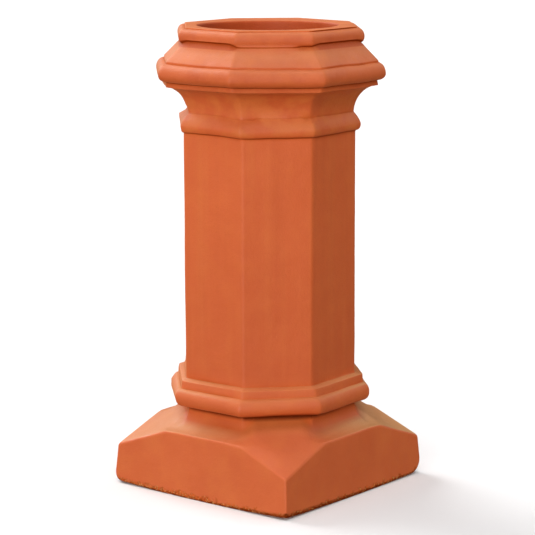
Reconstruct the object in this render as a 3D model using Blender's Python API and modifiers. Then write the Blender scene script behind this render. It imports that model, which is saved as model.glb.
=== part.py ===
"""Chimney pot in fired clay: an eight-sided shaft with a moulded head, on a square foot with sloped corners.

Metres, +Z up. The origin is at the middle of the underside, and the sides of the foot run along X and Y.
One outline is carried round eight sides for the shaft and its mouldings. The foot is what two hollow-sided
square forms have in common, one square to X and Y and one turned by 45 degrees, which slopes the corners.
A round flue goes down through the shaft and opens into the hollow foot.

A "half" is the distance from the axis to the middle of a flat side. The base mouldings stack up from the
ground, the head hangs down from the rim, and the plain shaft takes what is left of the height.
"""

import math

import bmesh
import bpy

# Whole pot
HEIGHT = 0.762
SIDES = 8
FLUE_RADIUS = 0.115
SHAFT_WALL = 0.0237

# Rim and top roll
RIM_WALL = 0.0225
RIM_RISE = 0.002
RIM_ROUND = 0.003
TOP_ROLL_START = 0.0013
TOP_ROLL_OUT = 0.0108
TOP_ROLL_FOOT = 0.0049
TOP_ROLL_RISE = 0.0125
TOP_ROLL_FALL = 0.0100

# Weathering slope, wide roll and fillet
CORNICE_OUT = 0.0321
SLOPE_DROP = 0.0295
SLOPE_STEP = 0.0035
WIDE_ROLL_OUT = 0.0455
WIDE_ROLL_RISE = 0.0175
WIDE_ROLL_FALL = 0.0140
FILLET_HEIGHT = 0.0055

# Hollow under the head, and the roll on top of the shaft
HOLLOW_HEIGHT = 0.0385
HOLLOW_IN = 0.0035
NECK_FLARE = 0.0090
NECK_ROLL_START = -0.0002
NECK_ROLL_OUT = 0.0089
NECK_ROLL_FOOT = 0.0013
NECK_ROLL_RISE = 0.0164
NECK_ROLL_FALL = 0.0106
NECK_ROLL_QUIRK = 0.0020

# Chamfer, band and torus at the foot of the shaft
CHAMFER_HEIGHT = 0.0038
BAND_OUT = 0.0091
BAND_FOOT_OUT = 0.0112
BAND_HEIGHT = 0.0128
TORUS_OUT = 0.0239
TORUS_RISE = 0.0156
TORUS_FALL = 0.0136
SOFFIT_RISE = 0.0030
NECK_RISE = 0.0030

# Foot
FOOT_OUT = 0.0453
FOOT_DRAFT = math.radians(4.6)
CORNER_HEIGHT = 0.0613
LEDGE_RISE = 0.0397
LEDGE_HALF_LENGTH = 0.0759
FLARE_RISE = 0.0330
HIP_HOLLOW = 0.0510
FOOT_WALL = 0.0280
ROOF_WALL = 0.0260

# How far cutting and joining forms run past the clay
OVERRUN = 0.020

# Fineness of the round stretches
QUARTER_STEPS = 6
FLUE_SIDES = 64

FLUSH = 1e-5
SHARP_ANGLE = math.radians(32)

# Sizes that follow from the ones above
SHAFT_HALF = FLUE_RADIUS + SHAFT_WALL
LEDGE_Z = CORNER_HEIGHT + LEDGE_RISE
FLARE_TOP_Z = LEDGE_Z + FLARE_RISE
NECK_TOP_Z = FLARE_TOP_Z + NECK_RISE


def foot_half(z):
    """Half width of the square foot at a height: its walls lean in."""
    return SHAFT_HALF + FOOT_OUT - z * math.tan(FOOT_DRAFT)


def hip_slope():
    """How steeply a sloped corner falls, from the end of the ledge to the foot's corner."""
    return LEDGE_RISE / (hip_corner() - hip_shoulder())


def hip_corner():
    """Distance from the axis to the foot's corner, along the diagonal."""
    return foot_half(CORNER_HEIGHT) * math.sqrt(2)


def hip_shoulder():
    """Distance along the diagonal at which the slope leaves the ledge's ends."""
    return (foot_half(LEDGE_Z) + LEDGE_HALF_LENGTH) / math.sqrt(2)


def hip_height(half):
    """Height of the sloped corner's plane at a distance along the diagonal."""
    return LEDGE_Z + (hip_shoulder() - half) * hip_slope()


def quarter_out(start, end, steps=QUARTER_STEPS):
    """Points after start on a quarter ellipse that leaves start level and reaches end upright."""
    turns = [math.pi / 2 * step / steps for step in range(1, steps + 1)]
    return [
        (
            start[0] + (end[0] - start[0]) * math.sin(turn),
            end[1] + (start[1] - end[1]) * math.cos(turn),
        )
        for turn in turns
    ]


def quarter_down(start, end, steps=QUARTER_STEPS):
    """Points after start on a quarter ellipse that leaves start upright and reaches end level."""
    turns = [math.pi / 2 * step / steps for step in range(1, steps + 1)]
    return [
        (
            end[0] + (start[0] - end[0]) * math.cos(turn),
            start[1] + (end[1] - start[1]) * math.sin(turn),
        )
        for turn in turns
    ]


def roll(top, belly, foot):
    """A convex roll: out from its top to its belly, and back in to its foot."""
    return [top] + quarter_out(top, belly) + quarter_down(belly, foot)


def bend(start, corner, end, steps=QUARTER_STEPS):
    """Points after start on the curve that leaves towards corner and reaches end coming from it."""
    points = []
    for step in range(1, steps + 1):
        t = step / steps
        points.append(
            tuple(
                (1 - t) ** 2 * a + 2 * t * (1 - t) * b + t**2 * c
                for a, b, c in zip(start, corner, end)
            )
        )
    return points


def head_outline():
    """From the rim to the top of the plain shaft."""
    half = FLUE_RADIUS + RIM_WALL
    z = HEIGHT
    points = [(0.0, z), (half, z)]
    z -= RIM_RISE
    points.append((half, z))

    top = (SHAFT_HALF + TOP_ROLL_START, z)
    belly = (SHAFT_HALF + TOP_ROLL_OUT, z - TOP_ROLL_RISE)
    foot = (SHAFT_HALF + TOP_ROLL_FOOT, belly[1] - TOP_ROLL_FALL)
    points += roll(top, belly, foot)

    cornice = SHAFT_HALF + CORNICE_OUT
    z = foot[1] - SLOPE_DROP
    points.append((cornice, z))
    z -= SLOPE_STEP

    belly = (SHAFT_HALF + WIDE_ROLL_OUT, z - WIDE_ROLL_RISE)
    foot = (cornice, belly[1] - WIDE_ROLL_FALL)
    points += roll((cornice, z), belly, foot)

    z = foot[1] - FILLET_HEIGHT
    points.append((cornice, z))
    neck = (SHAFT_HALF - HOLLOW_IN, z - HOLLOW_HEIGHT)
    points += quarter_out((cornice, z), neck)

    top = (SHAFT_HALF + NECK_ROLL_START, neck[1] - NECK_FLARE)
    belly = (SHAFT_HALF + NECK_ROLL_OUT, top[1] - NECK_ROLL_RISE)
    foot = (SHAFT_HALF + NECK_ROLL_FOOT, belly[1] - NECK_ROLL_FALL)
    points += roll(top, belly, foot)
    points.append((SHAFT_HALF, foot[1] - NECK_ROLL_QUIRK))
    return points


def base_outline():
    """From the foot of the plain shaft to the flat underside that sits on the foot's neck."""
    torus_foot = NECK_TOP_Z + SOFFIT_RISE
    belly_z = torus_foot + TORUS_FALL
    torus_top = belly_z + TORUS_RISE
    band_top = torus_top + BAND_HEIGHT
    points = [
        (SHAFT_HALF, band_top + CHAMFER_HEIGHT),
        (SHAFT_HALF + BAND_OUT, band_top),
    ]
    points += roll(
        (SHAFT_HALF + BAND_FOOT_OUT, torus_top),
        (SHAFT_HALF + TORUS_OUT, belly_z),
        (SHAFT_HALF + BAND_FOOT_OUT, torus_foot),
    )
    points += [(SHAFT_HALF, NECK_TOP_Z), (0.0, NECK_TOP_Z)]
    return points


def foot_outline():
    """Side of the foot that faces along X or Y: neck, hollow flare and leaning wall."""
    neck = (SHAFT_HALF, FLARE_TOP_Z)
    ledge = (foot_half(LEDGE_Z), LEDGE_Z)
    lap = NECK_TOP_Z + OVERRUN
    wall = (foot_half(0.0), 0.0)
    return [(0.0, lap), (SHAFT_HALF, lap), neck] + quarter_down(neck, ledge) + [wall, (0.0, 0.0)]


def hip_outline():
    """Side of the foot that faces a corner: neck, hollow and slope, run on past the corner."""
    neck = (SHAFT_HALF, FLARE_TOP_Z)
    slope_start = SHAFT_HALF + HIP_HOLLOW
    lap = NECK_TOP_Z + 2 * OVERRUN
    past = hip_corner() + OVERRUN
    return (
        [(0.0, lap), (SHAFT_HALF, lap), neck]
        + bend(neck, (SHAFT_HALF, hip_height(SHAFT_HALF)), (slope_start, hip_height(slope_start)))
        + [(past, hip_height(past)), (past, -OVERRUN), (0.0, -OVERRUN)]
    )


def foot_hollow_outline():
    """Hollow of the foot behind a side that faces along X or Y."""
    roof_z = LEDGE_Z - ROOF_WALL
    mouth_z = FLARE_TOP_Z - ROOF_WALL
    return [
        (0.0, mouth_z),
        (FLUE_RADIUS, mouth_z),
        (foot_half(roof_z) - FOOT_WALL, roof_z),
        (foot_half(0.0) - FOOT_WALL, 0.0),
        (foot_half(0.0) - FOOT_WALL, -OVERRUN),
        (0.0, -OVERRUN),
    ]


def hip_hollow_outline():
    """Hollow of the foot under a sloped corner, a wall's thickness below the slope."""
    drop = ROOF_WALL * math.hypot(1.0, hip_slope())
    past = hip_corner() + OVERRUN
    mouth_z = hip_height(FLUE_RADIUS) - drop
    return [
        (0.0, mouth_z),
        (FLUE_RADIUS, mouth_z),
        (past, hip_height(past) - drop),
        (past, -2 * OVERRUN),
        (0.0, -2 * OVERRUN),
    ]


def flue_outline():
    """Bore from above the rim, rounded where it leaves the rim, down into the hollow foot."""
    mouth = (FLUE_RADIUS + RIM_ROUND, HEIGHT)
    throat = (FLUE_RADIUS, HEIGHT - RIM_ROUND)
    return (
        [(0.0, HEIGHT + OVERRUN), (mouth[0], HEIGHT + OVERRUN), mouth]
        + quarter_out(mouth, throat)
        + [(FLUE_RADIUS, CORNER_HEIGHT), (0.0, CORNER_HEIGHT)]
    )


def turned(name, collection, outline, sides, facing=0.0, smooth=False):
    """Carries an outline of (half, height) points round the axis, with a flat side facing a direction."""
    corner = facing + math.pi / sides
    stretch = 1.0 / math.cos(math.pi / sides)
    mesh = bpy.data.meshes.new(name)
    build = bmesh.new()
    verts = [
        build.verts.new((half * stretch * math.cos(corner), half * stretch * math.sin(corner), z))
        for half, z in outline
    ]
    for upper, lower in zip(verts, verts[1:]):
        build.edges.new((upper, lower))
    build.to_mesh(mesh)
    build.free()
    obj = bpy.data.objects.new(name, mesh)
    collection.objects.link(obj)
    screw = obj.modifiers.new("turn", "SCREW")
    screw.axis = "Z"
    screw.angle = math.tau
    screw.steps = sides
    screw.render_steps = sides
    screw.use_merge_vertices = True
    screw.merge_threshold = FLUSH
    screw.use_smooth_shade = smooth
    return obj


def combine(obj, operation, other):
    """Adds a Boolean to obj, with other as the second form."""
    boolean = obj.modifiers.new(other.name, "BOOLEAN")
    boolean.operation = operation
    boolean.solver = "EXACT"
    boolean.object = other


def as_guide(obj):
    """Shows a cutting or joining form as wire, and keeps it out of renders."""
    obj.hide_render = True
    obj.display_type = "WIRE"
    return obj


def fired_clay():
    """Matt orange-brown terracotta."""
    material = bpy.data.materials.new("fired clay")
    material.use_nodes = True
    shader = material.node_tree.nodes["Principled BSDF"]
    shader.inputs["Base Color"].default_value = (0.56, 0.15, 0.055, 1.0)
    shader.inputs["Roughness"].default_value = 0.85
    shader.inputs["Metallic"].default_value = 0.0
    return material


def make_collection(name):
    collection = bpy.data.collections.new(name)
    bpy.context.scene.collection.children.link(collection)
    return collection


def shade(obj):
    """Replaces the modifiers by their result, smooth on round stretches and crisp on the arrises."""
    depsgraph = bpy.context.evaluated_depsgraph_get()
    mesh = bpy.data.meshes.new_from_object(obj.evaluated_get(depsgraph))
    obj.modifiers.clear()
    obj.data = mesh
    mesh.name = obj.name
    mesh.shade_smooth()
    mesh.set_sharp_from_angle(angle=SHARP_ANGLE)


def build_pot():
    """One hollow solid: shaft joined to foot, less the flue and the hollow of the foot."""
    parts = make_collection("chimney pot")
    forms = make_collection("forms")
    diagonal = math.pi / 4

    foot = as_guide(turned("foot_form", forms, foot_outline(), 4))
    hips = as_guide(turned("hip_form", forms, hip_outline(), 4, diagonal))
    combine(foot, "INTERSECT", hips)

    hollow = as_guide(turned("foot_hollow_form", forms, foot_hollow_outline(), 4))
    hip_hollow = as_guide(turned("hip_hollow_form", forms, hip_hollow_outline(), 4, diagonal))
    combine(hollow, "INTERSECT", hip_hollow)

    flue = as_guide(turned("flue_form", forms, flue_outline(), FLUE_SIDES, smooth=True))

    pot = turned("chimney_pot", parts, head_outline() + base_outline(), SIDES)
    pot.data.materials.append(fired_clay())
    combine(pot, "UNION", foot)
    combine(pot, "DIFFERENCE", flue)
    combine(pot, "DIFFERENCE", hollow)
    shade(pot)
    return pot


def main():
    for obj in list(bpy.data.objects):
        bpy.data.objects.remove(obj, do_unlink=True)
    build_pot()


main()
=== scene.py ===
"""Dresses the solid of an octagonal terracotta chimney pot, and sets up the studio it is seen in.

The pot is one closed skin in place of the solid. Its section is drawn from the same sizes as the solid's,
with soft creases and arrises, and carried round the axis in columns. The skin is then pushed about as
hand-pressed clay is: twisted, leaning, wavy, chipped at the foot.

Lengths are in metres except where a comment says millimetres, and +Z is up. The tables give angles in
degrees, and the functions take them in radians. A "half" is the distance from the axis to the middle of a
flat side, and a "ring" is one level of the skin.
"""

import math

import bpy
import numpy as np
from bpy.props import FloatProperty, FloatVectorProperty, PointerProperty
from mathutils import Matrix, Vector, noise
from mathutils.bvhtree import BVHTree


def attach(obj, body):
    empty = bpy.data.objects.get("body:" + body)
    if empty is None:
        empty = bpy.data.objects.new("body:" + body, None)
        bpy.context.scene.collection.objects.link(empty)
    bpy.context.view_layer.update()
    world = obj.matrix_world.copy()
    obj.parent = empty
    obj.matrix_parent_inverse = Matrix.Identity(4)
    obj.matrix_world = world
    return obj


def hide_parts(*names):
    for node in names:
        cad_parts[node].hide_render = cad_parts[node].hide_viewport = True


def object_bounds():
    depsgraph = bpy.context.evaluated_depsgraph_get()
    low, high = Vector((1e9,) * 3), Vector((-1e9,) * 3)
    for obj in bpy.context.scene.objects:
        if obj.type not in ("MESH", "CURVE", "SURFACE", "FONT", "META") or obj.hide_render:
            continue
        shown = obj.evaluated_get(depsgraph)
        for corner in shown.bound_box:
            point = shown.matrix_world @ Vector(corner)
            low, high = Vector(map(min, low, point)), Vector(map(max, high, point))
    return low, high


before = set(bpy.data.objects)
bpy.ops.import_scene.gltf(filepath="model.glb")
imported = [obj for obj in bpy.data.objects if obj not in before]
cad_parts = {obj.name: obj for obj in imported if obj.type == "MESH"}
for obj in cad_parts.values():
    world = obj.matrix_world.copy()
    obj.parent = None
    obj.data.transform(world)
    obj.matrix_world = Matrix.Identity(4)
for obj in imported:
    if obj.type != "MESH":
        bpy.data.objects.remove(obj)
CAD_BOX = [list(corner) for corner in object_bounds()]

bl_info = {
    "name": "Chimney pot",
    "version": (1, 0, 0),
    "blender": (4, 5, 0),
    "location": "3D View > Sidebar > Chimney pot",
    "description": "Builds a weathered octagonal terracotta chimney pot and a plain studio round it",
    "category": "Object",
}

NODE = "chimney_pot"
MILLIMETRE = 0.001

# Whole pot
HEIGHT = CAD_BOX[1][2]
SIDES = 8
FLUE_RADIUS = 0.115
SHAFT_HALF = 0.1387

# Rim and top roll
RIM_HALF = 0.1375
RIM_RISE = 0.0024
RIM_ROUND = 0.003
TOP_ROLL_START = 0.0013
TOP_ROLL_OUT = 0.0108
TOP_ROLL_FOOT = 0.0049
TOP_ROLL_RISE = 0.0125
TOP_ROLL_FALL = 0.0100

# Weathering slope, wide roll and fillet
CORNICE_OUT = 0.0321
SLOPE_DROP = 0.0295
SLOPE_STEP = 0.0035
WIDE_ROLL_OUT = 0.0455
WIDE_ROLL_RISE = 0.0175
WIDE_ROLL_FALL = 0.0112
FILLET_HEIGHT = 0.0083

# Hollow under the head, and the roll on top of the shaft
HOLLOW_HEIGHT = 0.0385
HOLLOW_IN = 0.0035
NECK_FLARE = 0.0048
NECK_ROLL_OUT = 0.0089
NECK_ROLL_LEAN = 0.0070
NECK_ROLL_FOOT = 0.0013
NECK_ROLL_RISE = 0.0206
NECK_ROLL_FALL = 0.0106
NECK_ROLL_QUIRK = 0.0020

# Chamfer, band and torus at the foot of the shaft
CHAMFER_HEIGHT = 0.0038
BAND_OUT = 0.0091
BAND_FOOT_OUT = 0.0112
BAND_HEIGHT = 0.0128
TORUS_OUT = 0.0239
TORUS_RISE = 0.0156
TORUS_FALL = 0.0136
SOFFIT_RISE = 0.0030
NECK_RISE = 0.0030

# Foot
FOOT_SPREAD = 1.006
FOOT_HALF = CAD_BOX[1][0] * FOOT_SPREAD
FOOT_DRAFT = math.radians(4.6)
CORNER_HEIGHT = 0.0613
LEDGE_RISE = 0.0397
LEDGE_HALF_LENGTH = 0.0759
FLARE_RISE = 0.0330
FOLD_START = (0.080, -0.168)
FOLD_SLANT = 0.203
FOLD_FADE = 0.040
FOLD_TILT = 0.26
HIP_HOLLOW = 0.0510
FOOT_WALL = 0.0280
ROOF_WALL = 0.0260
FOOT_CORNER_ROUND = 0.0025

# How far from the diagonal a sloped corner starts to bend down into the flare, and where it ends
RIDGE_BLEND = (math.radians(14), math.radians(22.5))

# The foot's worn lower edge: how high the wear reaches at each direction in degrees, how far it goes in for
# its height, and how much of it is rounded rather than slanted
EDGE_WEAR = (
    (0, 0.0070),
    (39, 0.0045),
    (51, 0.0050),
    (225, 0.0036),
    (290, 0.0040),
    (307, 0.0075),
    (318, 0.0095),
)
TOE_SLANT = 0.40
TOE_ROUNDNESS = 0.35

# How far the foot's upright corners from +X+Y on are rounded at the ground, and how high that reaches
FOOT_TOE_ROUNDS = (0.023, 0.012, 0.013, 0.006)
FOOT_TOE_HEIGHTS = (0.024, 0.016, 0.016, 0.012)

# Half lengths of the foot's ledges, at each arris in turn from the one at 22.5 degrees
LEDGE_HALVES = (0.0733, 0.0845, 0.0759, 0.0759, 0.0735, 0.0746, 0.0827, 0.0690)

# How far the middle of each side's lower edge hangs below the corners: sides facing +X, +Y, -X, -Y
FOOT_BOWS = (0.0036, 0.0030, 0.0030, 0.0042)
BOW = max(FOOT_BOWS)

LEDGE_Z = CORNER_HEIGHT + LEDGE_RISE
FLARE_TOP_Z = LEDGE_Z + FLARE_RISE
NECK_TOP_Z = FLARE_TOP_Z + NECK_RISE
FLUE_FOOT_Z = 0.112

# Fineness of the skin along its section, and of the rings over the foot
ROUND_STEPS = 12
OUTLINE_GAP = 0.0002
FINE_GAP = 0.0007
COARSE_GAP = 0.0092
TURN_PER_RING = math.radians(11)
TOP_RINGS = 24
TOP_CROWDING = 1.2
EDGE_RINGS = 7
WALL_RINGS = 26
WALL_CROWDING = 1.5
WALL_LEVELS = tuple(1 - (1 - step / WALL_RINGS) ** WALL_CROWDING for step in range(1, WALL_RINGS + 1))
BOTTOM_RINGS = 7
UNDERSIDE_LEVELS = (0.1, 0.25, 0.45, 0.7, 1.0)
HOLLOW_LEVELS = (0.06, 0.2, 0.4, 0.6, 0.8, 0.92, 0.98, 1.0)
ROOF_LEVELS = (0.04, 0.2, 0.4, 0.6, 0.8, 0.95, 1.0)
MEETING_ROUNDS = 12

# Rings of the foot near its lower edge that have twice and four times as many columns
FIRST_WALL_RING = TOP_RINGS + EDGE_RINGS
TWICE_AS_FINE = range(FIRST_WALL_RING + 12, FIRST_WALL_RING + 36)
FOUR_TIMES_AS_FINE = range(FIRST_WALL_RING + 19, FIRST_WALL_RING + 34)

# Columns of one quarter in degrees: its arrises and its corner, what stands beside each, the step between
# them, and how close two may be
FIRST_ARRIS, CORNER, SECOND_ARRIS = 22.5, 45.0, 67.5
QUARTER = 90.0
ARRIS_OFFSETS = (0.0, 0.25, 0.52, 0.85, 1.4)
CORNER_OFFSETS = (0.0, 0.35, 0.7, 1.1, 1.8)
FACE_STEP = 2.1
CLOSEST_COLUMNS = 0.01

# Where the round flue turns eight-sided over the rim: how near the mouth it is still round, how far under
# the top the rim reaches, and how far before its outer edge it has turned
MOUTH_MARGIN = 0.0005
RIM_DEPTH = 0.001
SIDED_BEFORE_EDGE = 0.004

# How the places of the skin's wear and of its painted shade are measured: the bend of an edge that counts
# as sharp, per metre, and the rays that feel for near parts of the pot
SHARP_BEND = 120.0
SHELTER_TURNS = 6
SHELTER_TILTS = 3
SHELTER_LIFT = 0.0004
SHELTER_REACH = 0.05

# How the hand-pressed head, shaft and mouldings are turned on the foot, as height and turn in degrees, and
# how they are shifted on it, as height and the shift along X and Y. Both change evenly between the heights.
TURNS = (
    (0.000, 0.00),
    (0.095, 0.00),
    (0.112, 0.36),
    (0.137, 0.36),
    (0.141, 1.28),
    (0.182, 1.28),
    (0.187, 0.66),
    (0.600, 0.66),
    (0.664, -1.97),
    (0.704, -1.97),
    (0.740, -2.96),
    (0.770, -2.96),
)
SHIFTS = (
    (0.000, 0.0000, 0.0000),
    (0.095, 0.0000, 0.0000),
    (0.137, -0.0006, -0.0005),
    (0.141, -0.0014, -0.0011),
    (0.182, -0.0014, -0.0011),
    (0.187, -0.0019, -0.0015),
    (0.600, -0.0019, -0.0015),
    (0.664, 0.0015, 0.0012),
    (0.704, 0.0015, 0.0012),
    (0.740, 0.0017, 0.0014),
    (0.770, 0.0017, 0.0014),
)

# Heights at which the foot's top starts to follow the shaft and follows it in full, and how far inside the
# neck's half that still holds
FOLLOWS_SHAFT = (0.100, 0.112)
NECK_MARGIN = 0.001

# How much lower the far side of the rim lies, which way that is, and where it starts and is full
RIM_SAG = 0.0030
FAR_SIDE = (-0.630, 0.777)
SAG_HEIGHTS = (HEIGHT - 0.03, HEIGHT - 0.01)

# Arrises that stand out of true, numbered from the one at 22.5 degrees: height, then the move along X, Y
# and Z in millimetres
CORNER_MOVES = {
    0: (
        (0.137, 0.0, 0.0, 0.0),
        (0.154, 0.0, 0.0, 0.0),
        (0.165, 1.0, 0.8, 1.2),
        (0.170, 2.2, 1.8, 2.0),
        (0.182, 3.0, 2.4, 3.4),
        (0.190, 0.7, 0.5, 0.0),
        (0.590, 0.7, 0.5, 0.0),
        (0.615, 0.0, 0.0, 0.0),
        (0.640, 1.2, 1.0, 0.0),
        (0.665, 1.6, 1.3, 0.0),
        (0.675, 0.0, 0.0, 0.0),
        (0.695, 0.0, 0.0, 0.0),
        (0.706, 1.2, 1.0, 0.0),
        (0.735, 1.8, 1.4, 0.0),
        (0.762, 1.2, 1.0, 0.0),
    ),
    1: ((0.154, 0.0, 0.0, 0.0), (0.182, 2.0, 2.0, 3.0), (0.190, 0.0, 0.0, 0.0)),
    4: (
        (0.141, 0.5, 0.5, 0.0),
        (0.1515, 4.0, 3.5, 0.0),
        (0.158, 3.6, 3.4, 0.0),
        (0.163, 4.6, 4.5, 0.0),
        (0.167, 3.8, 3.9, 0.0),
        (0.172, 2.0, 2.5, 0.8),
        (0.182, 2.4, 2.8, 2.0),
        (0.187, 1.5, 3.2, 0.0),
        (0.192, 3.5, 5.0, 0.0),
        (0.590, 3.5, 5.0, 0.0),
        (0.600, 6.8, 7.6, 0.0),
        (0.606, 3.7, 5.1, 0.0),
        (0.612, 1.4, 3.2, 0.0),
        (0.6145, 2.0, 3.7, 0.0),
        (0.6175, 7.0, 7.8, 0.0),
        (0.622, 5.6, 6.7, 0.0),
        (0.629, 2.6, 4.3, 0.0),
        (0.636, 3.8, 5.2, 0.0),
        (0.650, -2.0, -0.5, 0.0),
        (0.657, -3.6, -2.4, 0.0),
        (0.665, -6.5, -5.2, 0.0),
        (0.676, 0.0, 0.0, 0.0),
    ),
    5: (
        (0.141, 0.0, 0.0, 0.0),
        (0.152, 1.0, 0.8, 0.0),
        (0.158, 0.0, 0.0, 0.0),
        (0.170, -1.5, 0.0, 0.0),
        (0.187, -3.6, 0.0, 0.0),
        (0.590, -3.6, 0.0, 0.0),
        (0.598, -0.8, 1.5, 0.0),
        (0.604, -0.7, 1.0, 0.0),
        (0.620, 0.0, 0.0, 0.0),
        (0.630, 0.8, 0.7, 0.0),
        (0.637, -2.2, -1.8, 0.0),
        (0.644, -2.7, -2.2, 0.0),
        (0.657, -2.3, -1.8, 0.0),
        (0.663, -2.8, -2.2, 0.0),
        (0.667, -0.6, -0.5, 0.0),
        (0.672, 0.0, 0.0, 0.0),
    ),
    6: (
        (0.160, 0.0, 0.0, 0.0),
        (0.182, 2.0, 0.0, 0.0),
        (0.187, 2.6, 0.0, 0.0),
        (0.590, 2.6, 0.0, 0.0),
        (0.605, 0.0, 0.0, 0.0),
    ),
    7: (
        (0.154, 0.0, 0.0, 0.0),
        (0.182, -1.2, -1.5, 0.0),
        (0.187, 0.0, -0.7, 0.0),
        (0.590, 0.0, -0.7, 0.0),
        (0.605, 0.0, 0.0, 0.0),
    ),
}

# Smears and pressed places: direction and its reach in degrees, height and its reach in metres, then how far
# the clay is pushed out and up, in millimetres. Direction 0 faces along -Y, and 90 along +X.
SMEARS = (
    (0, 24, 0.7370, 0.0085, 1.9, 3.8),
    (41, 21, 0.7350, 0.0060, 4.2, -1.0),
    (90, 24, 0.7370, 0.0085, 1.9, 3.4),
    (20, 14, 0.6220, 0.009, 0.0, -2.4),
    (30, 4.5, 0.6190, 0.005, 1.4, 1.6),
    (45, 11, 0.6225, 0.008, 1.7, 0.0),
    (66.5, 3.5, 0.6215, 0.006, -2.6, -1.0),
    (90, 24, 0.7592, 0.0024, -2.2, 0.0),
)

# Shares of a smear's reach over which it fades, aside and upwards
SMEAR_FADE_ASIDE = 0.3
SMEAR_FADE_UP = 0.8

# Waves of the skin: how many to a metre across and up, and how far their pattern is moved along X and Z
SLOW_WAVES = (9, 7)
QUICK_WAVES = (38, 34)
LIFTS = (13, 9, 5, 40)
QUICK_LIFTS = (28, 20, 0, 70)
WORN_STRETCHES = (14, 0, 0, 3)
CHIPS = (150, 170)
CRUMBS = (330, 330)

# Shares of the waves, and how near the top and the ground the lifts fade
SLOW_SHARE, QUICK_SHARE = 0.9, 0.28
LIFT_SHARE, QUICK_LIFT_SHARE = 2.0, 0.7
LIFT_FADE, LIFT_AT_TOP = 0.06, 0.002

# Chips of the lower edge: how high they reach, the octaves of their noise and the level at which one starts,
# how fast they fade upwards, how worn a stretch is, and the share of the crumbs between them
CRUMB_HEIGHT = 0.018
CHIP_OCTAVES = 3
CHIP_LEVEL = 0.42
CHIP_FADE = 1.5
LEAST_WORN, MEAN_WORN, WORN_SPREAD = 0.2, 0.45, 0.9
CRUMB_SHARE = 0.14


# The section


def foot_half(z):
    """Half width of the square foot at a height: its walls lean in."""
    return FOOT_HALF - z * math.tan(FOOT_DRAFT)


def hip_corner():
    """Distance from the axis to the foot's corner, along the diagonal."""
    return foot_half(CORNER_HEIGHT) * math.sqrt(2)


def hip_shoulder():
    """Distance along the diagonal at which the slope leaves the ledge's ends."""
    return (foot_half(LEDGE_Z) + LEDGE_HALF_LENGTH) / math.sqrt(2)


def hip_height(half):
    """Height of the sloped corner's plane at a distance along the diagonal."""
    slope = LEDGE_RISE / (hip_corner() - hip_shoulder())
    return LEDGE_Z + (hip_shoulder() - half) * slope


QUARTER_TURNS = [math.pi / 2 * step / ROUND_STEPS for step in range(1, ROUND_STEPS + 1)]


def quarter_out(start, end):
    """Points after start on a quarter ellipse that leaves start level and reaches end upright."""
    (a, z), (b, end_z) = start, end
    return [(a + (b - a) * math.sin(turn), end_z + (z - end_z) * math.cos(turn)) for turn in QUARTER_TURNS]


def quarter_down(start, end):
    """Points after start on a quarter ellipse that leaves start upright and reaches end level."""
    (a, z), (b, end_z) = start, end
    return [(b + (a - b) * math.cos(turn), z + (end_z - z) * math.sin(turn)) for turn in QUARTER_TURNS]


def roll(top, belly, foot):
    """A convex roll: out from its top to its belly, and back in to its foot."""
    return [top] + quarter_out(top, belly) + quarter_down(belly, foot)


def curve_between(start, corner, end, t):
    """Point at t on the curve that leaves start towards corner and reaches end coming from it."""
    return (1 - t) ** 2 * start + 2 * t * (1 - t) * corner + t**2 * end


def bend(start, corner, end):
    """Points after start on that curve."""
    steps = [step / ROUND_STEPS for step in range(1, ROUND_STEPS + 1)]
    return [tuple(curve_between(a, b, c, t) for a, b, c in zip(start, corner, end)) for t in steps]


def head_outline():
    """From the outer edge of the rim to the top of the plain shaft."""
    z = HEIGHT
    points = [(RIM_HALF, z)]
    z -= RIM_RISE
    points.append((RIM_HALF, z))

    top = (SHAFT_HALF + TOP_ROLL_START, z)
    belly = (SHAFT_HALF + TOP_ROLL_OUT, z - TOP_ROLL_RISE)
    foot = (SHAFT_HALF + TOP_ROLL_FOOT, belly[1] - TOP_ROLL_FALL)
    points += roll(top, belly, foot)

    cornice = SHAFT_HALF + CORNICE_OUT
    z = foot[1] - SLOPE_DROP
    points.append((cornice, z))
    z -= SLOPE_STEP

    belly = (SHAFT_HALF + WIDE_ROLL_OUT, z - WIDE_ROLL_RISE)
    foot = (cornice, belly[1] - WIDE_ROLL_FALL)
    points += roll((cornice, z), belly, foot)

    z = foot[1] - FILLET_HEIGHT
    points.append((cornice, z))
    neck = (SHAFT_HALF - HOLLOW_IN, z - HOLLOW_HEIGHT)
    points += quarter_out((cornice, z), neck)

    top = (neck[0], neck[1] - NECK_FLARE)
    belly = (SHAFT_HALF + NECK_ROLL_OUT, top[1] - NECK_ROLL_RISE)
    lean = (SHAFT_HALF + NECK_ROLL_LEAN, belly[1] + NECK_ROLL_FALL)
    foot = (SHAFT_HALF + NECK_ROLL_FOOT, belly[1] - NECK_ROLL_FALL)
    points += [top] + bend(top, lean, belly) + quarter_down(belly, foot)
    points.append((SHAFT_HALF, foot[1] - NECK_ROLL_QUIRK))
    return points


def base_outline():
    """From the foot of the plain shaft to where the neck of the foot starts to flare."""
    torus_foot = NECK_TOP_Z + SOFFIT_RISE
    belly_z = torus_foot + TORUS_FALL
    torus_top = belly_z + TORUS_RISE
    band_top = torus_top + BAND_HEIGHT
    points = [
        (SHAFT_HALF, band_top + CHAMFER_HEIGHT),
        (SHAFT_HALF + BAND_OUT, band_top),
    ]
    points += roll(
        (SHAFT_HALF + BAND_FOOT_OUT, torus_top),
        (SHAFT_HALF + TORUS_OUT, belly_z),
        (SHAFT_HALF + BAND_FOOT_OUT, torus_foot),
    )
    points += [(SHAFT_HALF, NECK_TOP_Z), (SHAFT_HALF, FLARE_TOP_Z)]
    return points


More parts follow.
